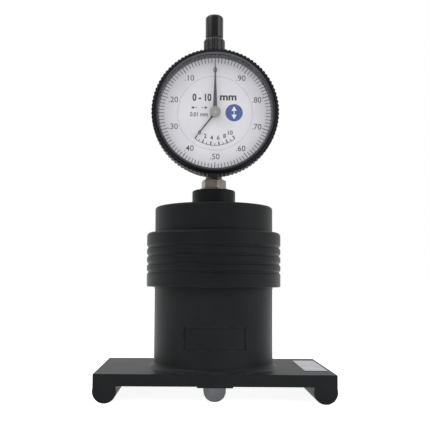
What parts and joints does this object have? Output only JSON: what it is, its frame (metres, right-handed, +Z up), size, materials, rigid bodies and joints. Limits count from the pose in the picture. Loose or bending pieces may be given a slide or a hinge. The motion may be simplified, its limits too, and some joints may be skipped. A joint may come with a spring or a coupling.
{
  "type": "screen tension gauge",
  "caption": "Screen tension gauge: a black cylinder on a footed base with a sprung measuring bar between the feet, read by a round dial gauge clamped on top.",
  "frame": {"origin": "on the body's axis, at the height of the two feet", "axes": "+Z up through the body and the dial gauge, +X to the right as seen from the front, and the dial faces -Y"},
  "size_m": [0.1078, 0.0646, 0.1851],
  "materials": {
    "black_enamel": "fine matt black paint",
    "black_anodised": "black anodised, satin",
    "bright_steel": "turned and polished",
    "ground_aluminium": "ground, satin",
    "spring_steel": "drawn wire and hardened pins",
    "bronze": "bored bearing bronze",
    "brass": "turned and stamped brass",
    "dial_white": "matt white paint",
    "clear_glass": "clear, polished",
    "hand_black": "black paint"
  },
  "bodies": {
    "housing": {"base_plate": "black_enamel", "base_screw_1": "spring_steel", "base_screw_2": "spring_steel", "base_screw_3": "spring_steel", "base_screw_4": "spring_steel", "body_tube": "black_enamel", "lower_guide_bush": "bronze", "upper_guide_bush": "bronze", "main_spring": "spring_steel", "spring_adjuster": "ground_aluminium", "adjuster_lock_ring": "spring_steel", "grip_ring": "black_anodised", "top_cover": "black_enamel", "stem_collet": "brass", "stem_clamp_nut": "bright_steel", "gauge_case": "black_anodised", "gauge_stem": "bright_steel", "back_cover": "black_anodised", "back_cover_screw_1": "bright_steel", "back_cover_screw_2": "bright_steel", "back_cover_screw_3": "bright_steel", "back_cover_screw_4": "bright_steel", "cap_boss": "black_anodised", "dust_cap": "black_anodised", "rear_plate": "brass", "middle_plate": "brass", "front_plate": "brass", "plate_pillar_1": "brass", "plate_pillar_2": "brass", "plate_pillar_3": "brass", "guide_slot_bar": "brass", "spring_anchor_pin": "spring_steel", "return_spring": "spring_steel", "hairspring": "spring_steel"},
    "plunger": {"measuring_bar": "ground_aluminium", "plunger_rod": "bright_steel", "spring_seat": "bright_steel", "seat_pin": "spring_steel", "rod_anvil": "bright_steel", "guide_pin_front": "spring_steel", "guide_pin_rear": "spring_steel"},
    "spindle_group": {"spindle": "bright_steel", "spindle_pin": "spring_steel", "contact_point": "bright_steel"},
    "rack_pinion": {"rack_pinion_arbor": "bright_steel", "drive_wheel": "brass", "counter_pinion": "brass"},
    "takeup": {"takeup_arbor": "bright_steel", "takeup_wheel": "brass"},
    "pointer_group": {"centre_arbor": "bright_steel", "pointer": "spring_steel", "pointer_hub": "brass"},
    "counter_group": {"counter_wheel": "brass", "counter_hand": "hand_black"},
    "bezel_group": {"bezel": "black_anodised", "crystal": "clear_glass", "dial_face": "dial_white", "dial_retaining_ring": "spring_steel"}
  },
  "joints": [
    {"name": "plunger_slide", "type": "slide", "parent": "housing", "child": "plunger", "axis": [0, 0, -1], "range_m": [0, 0.004], "stiffness_N_per_m": 200, "springref_m": 0.01, "deforming": ["main_spring"]},
    {"name": "spindle_slide", "type": "slide", "parent": "housing", "child": "spindle_group", "axis": [0, 0, -1], "range_m": [0, 0.004], "deforming": ["return_spring"]},
    {"name": "rack_pinion_turn", "type": "hinge", "parent": "housing", "child": "rack_pinion", "pos_m": [-0.00319, 0, 0.12237], "axis": [0, -1, 0], "range_deg": [-144.5, 0.5]},
    {"name": "takeup_turn", "type": "hinge", "parent": "housing", "child": "takeup", "pos_m": [0.00319, 0, 0.14343], "axis": [0, -1, 0], "range_deg": [-144.5, 0.5]},
    {"name": "pointer_turn", "type": "hinge", "parent": "housing", "child": "pointer_group", "pos_m": [0, 0, 0.1329], "axis": [0, -1, 0], "range_deg": [-1, 1441]},
    {"name": "counter_turn", "type": "hinge", "parent": "housing", "child": "counter_group", "pos_m": [0, 0, 0.1329], "axis": [0, -1, 0], "range_deg": [-0.5, 31]},
    {"name": "bezel_turn", "type": "hinge", "parent": "housing", "child": "bezel_group", "pos_m": [0, 0, 0.1329], "axis": [0, -1, 0], "continuous": true}
  ],
  "couplings": [
    {"joint": "spindle_slide", "follows": "plunger_slide", "ratio": 1},
    {"joint": "rack_pinion_turn", "follows": "plunger_slide", "rad_per_m": -628.32},
    {"joint": "takeup_turn", "follows": "plunger_slide", "rad_per_m": -628.32},
    {"joint": "pointer_turn", "follows": "plunger_slide", "rad_per_m": 6283.2},
    {"joint": "counter_turn", "follows": "plunger_slide", "rad_per_m": 132.28}
  ]
}
